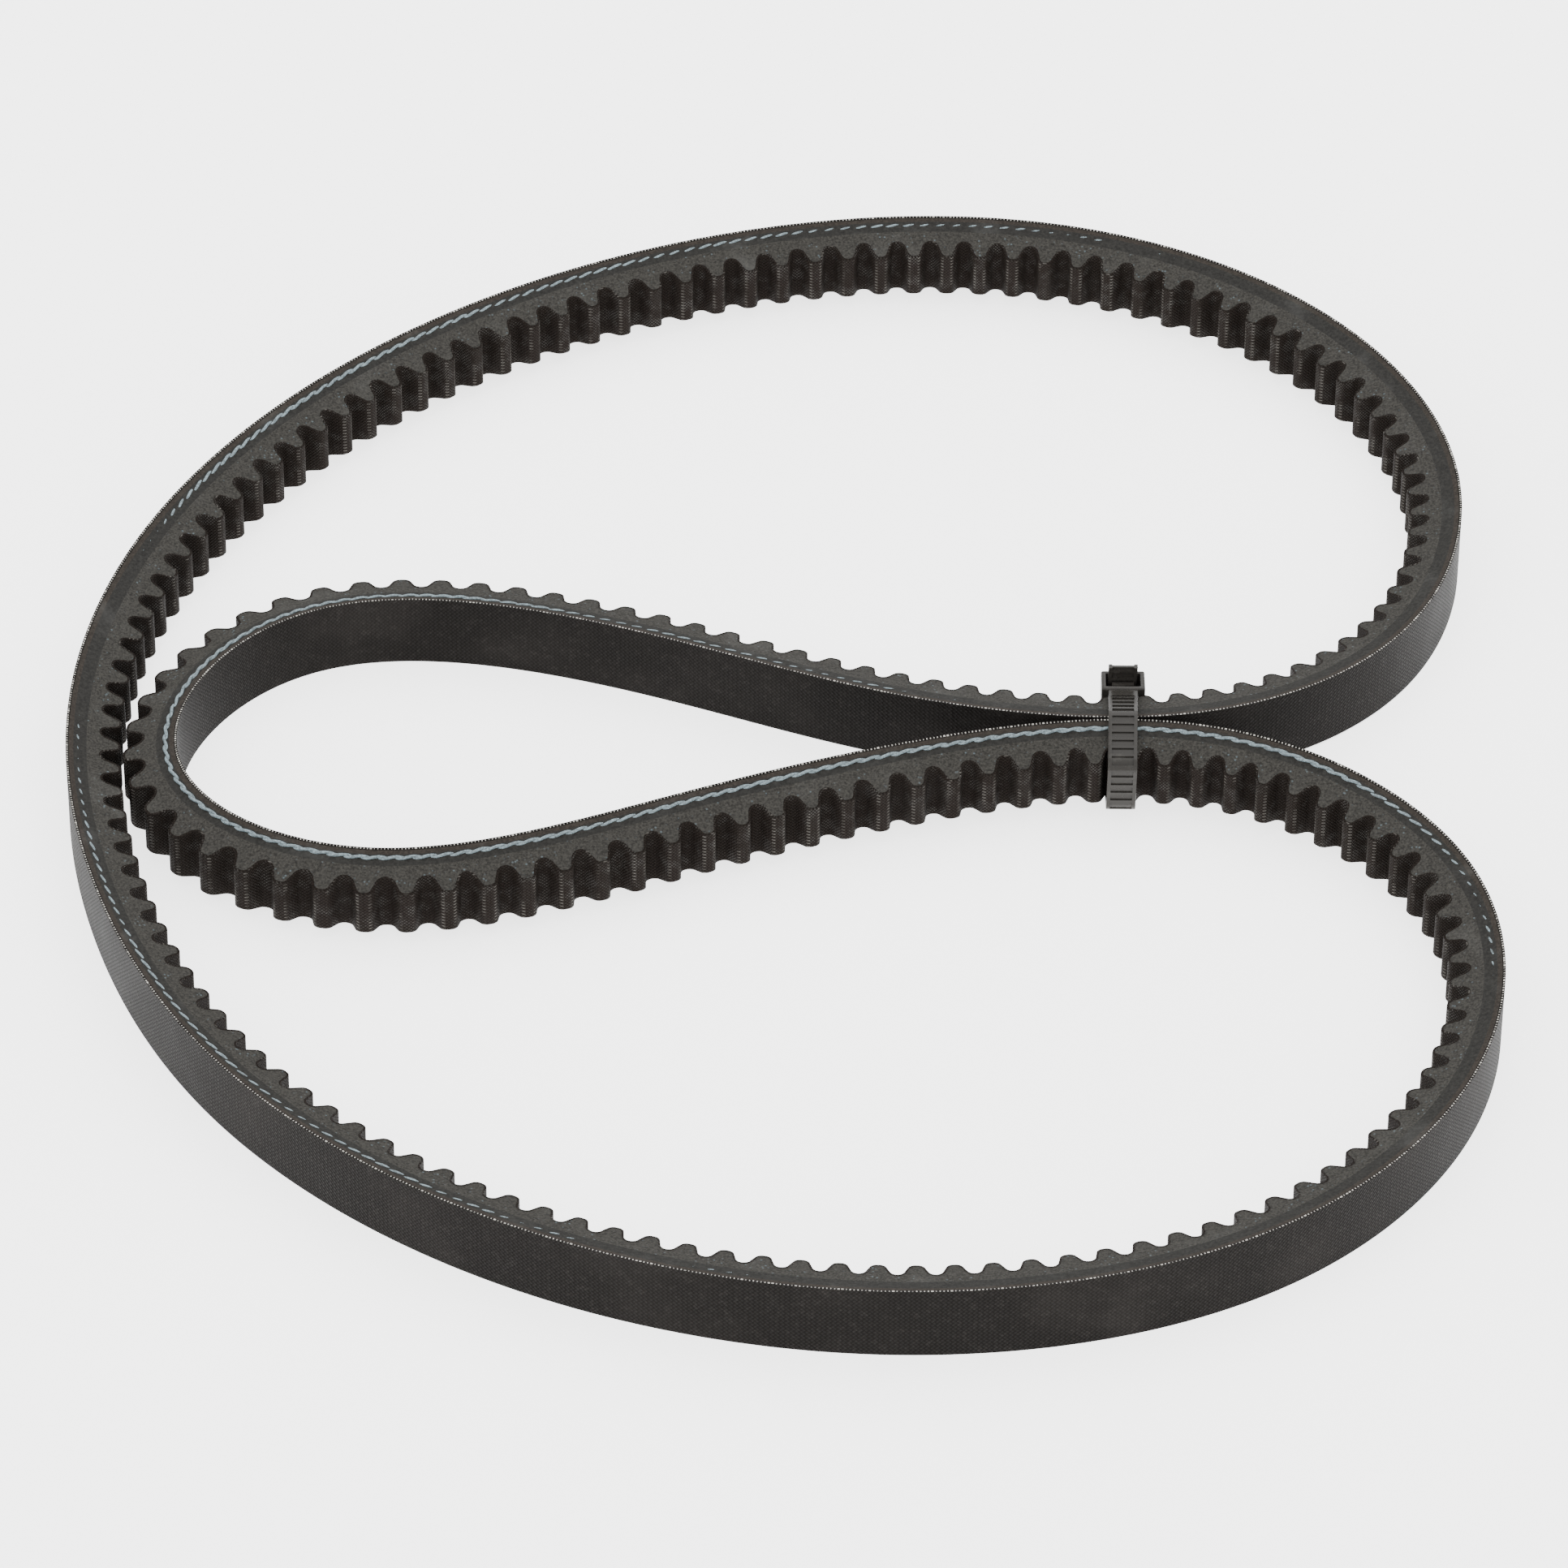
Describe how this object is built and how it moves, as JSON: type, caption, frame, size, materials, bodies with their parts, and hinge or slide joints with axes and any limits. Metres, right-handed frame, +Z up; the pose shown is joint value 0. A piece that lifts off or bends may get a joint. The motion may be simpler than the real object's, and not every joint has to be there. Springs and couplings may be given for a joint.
{
  "type": "v belt",
  "caption": "Raw-edge cogged V-belt standing on its edge, folded into three loops and held by a toothed cable tie.",
  "frame": {"origin": "middle of the footprint, on the surface that the belt's edge stands on", "axes": "+X towards the tied side's open end, +Y across the tied runs towards the tie's head, +Z up across the belt's width"},
  "size_m": [0.2309, 0.2781, 0.0153],
  "materials": {
    "back_fabric": "rubberised weave, slightly glossy",
    "overcord_rubber": "cut rubber edge, matte",
    "tensile_cord": "treated twisted polyester, matte",
    "adhesion_gum": "cut rubber edge, matte",
    "undercord_rubber": "ground fibre-loaded rubber, matte",
    "cog_fabric": "rubberised fabric, matte",
    "tie_strap": "moulded nylon, satin",
    "tie_head": "moulded nylon, satin",
    "tie_pawl": "moulded nylon, satin"
  },
  "bodies": {
    "root": {"back_fabric": "back_fabric", "overcord_rubber": "overcord_rubber", "tensile_cord": "tensile_cord", "adhesion_gum": "adhesion_gum", "undercord_rubber": "undercord_rubber", "cog_fabric": "cog_fabric", "tie_strap": "tie_strap", "tie_head": "tie_head"},
    "pawl": {"tie_pawl": "tie_pawl"}
  },
  "joints": [
    {"name": "pawl_flex", "type": "hinge", "parent": "root", "child": "pawl", "pos_m": [0.057, 0.00786, 0.00894], "axis": [1, 0, 0], "range_deg": [0, 15], "stiffness_Nm_per_rad": 0.001}
  ]
}
